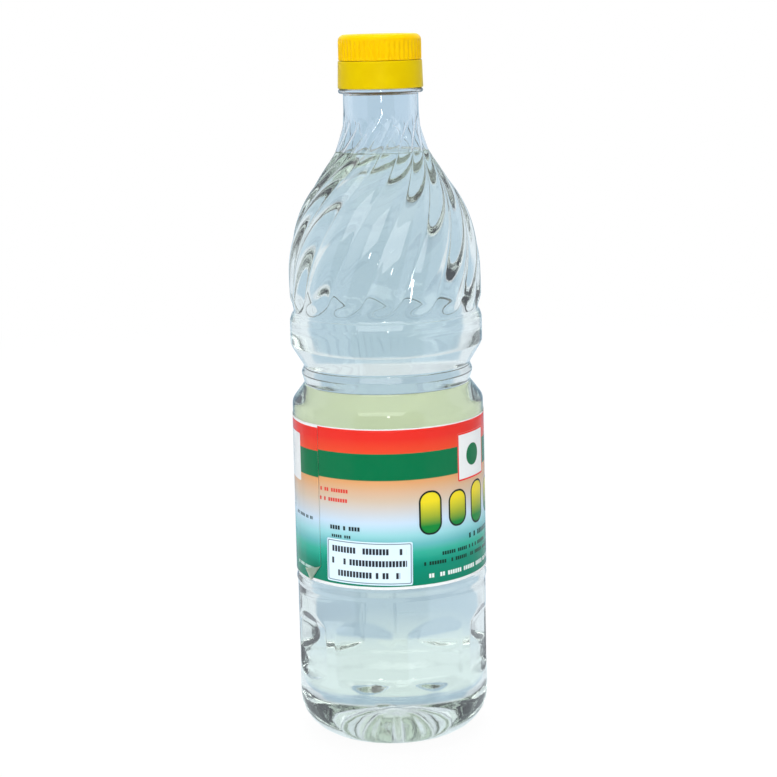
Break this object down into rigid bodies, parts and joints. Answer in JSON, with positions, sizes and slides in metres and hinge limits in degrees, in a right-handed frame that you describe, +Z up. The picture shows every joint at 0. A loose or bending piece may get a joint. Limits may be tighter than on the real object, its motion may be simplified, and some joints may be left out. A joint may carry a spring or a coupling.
{
  "type": "juice bottle",
  "caption": "Clear plastic drink bottle with a spiral-fluted shoulder, grooved waist, flat grip windows, wrap label and ribbed yellow screw cap.",
  "frame": {"origin": "centre of the circle that the foot stands on", "axes": "+Z up along the bottle's axis, -Y towards the front of the label"},
  "size_m": [0.0788, 0.079, 0.286],
  "materials": {
    "clear_plastic": "clear, smooth and glossy",
    "drink": "clear, nearly colourless liquid with a faint yellow-green cast",
    "yellow_plastic": "smooth glossy moulded plastic",
    "label_film": "glossy printed film: red and dark green bands over a cream to teal to green fade",
    "sticker_film": "white satin film with a thin grey border"
  },
  "bodies": {
    "root": {"bottle": "clear_plastic", "drink": "drink", "cap": "yellow_plastic", "tamper_band": "yellow_plastic", "label": "label_film", "sticker": "sticker_film"}
  },
  "joints": []
}
